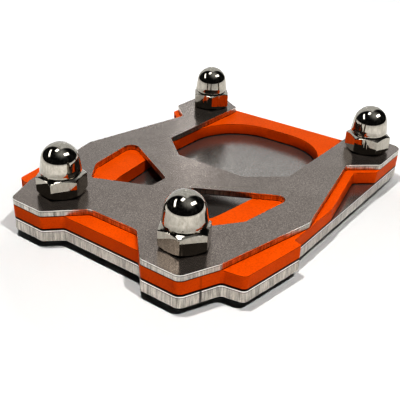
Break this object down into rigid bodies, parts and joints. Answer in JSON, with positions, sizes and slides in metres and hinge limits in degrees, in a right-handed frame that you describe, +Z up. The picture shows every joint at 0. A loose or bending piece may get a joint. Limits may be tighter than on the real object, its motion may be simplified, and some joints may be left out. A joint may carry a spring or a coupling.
{
  "type": "kickstand foot enlarger",
  "caption": "Stack of three cut metal plates that clamps round the foot of a motorbike side stand and widens it, held by countersunk screws and domed cap nuts.",
  "frame": {"origin": "on the ground under the middle of the plates, where the four screw heads stand, which is also the bottom centre of the bounding box", "axes": "+Z up through the plates, +Y towards the open mouth where the stand's foot enters, +X across the plates to the right seen from the closed front end"},
  "size_m": [0.0706, 0.0862, 0.0216],
  "materials": {
    "cut_steel": "satin mill-finish stainless sheet with striated cut edges",
    "orange_coat": "satin orange powder coat on aluminium",
    "polished_steel": "mirror-polished stainless",
    "screw_steel": "plain bright stainless"
  },
  "bodies": {
    "root": {"base_plate": "cut_steel", "spacer_plate": "orange_coat", "clamp_plate": "cut_steel", "cap_nut_front_left": "polished_steel", "cap_nut_back_left": "polished_steel", "cap_nut_back_right": "polished_steel", "cap_nut_front_right": "polished_steel", "screw_front_left": "screw_steel", "screw_back_left": "screw_steel", "screw_back_right": "screw_steel", "screw_front_right": "screw_steel"}
  },
  "joints": []
}
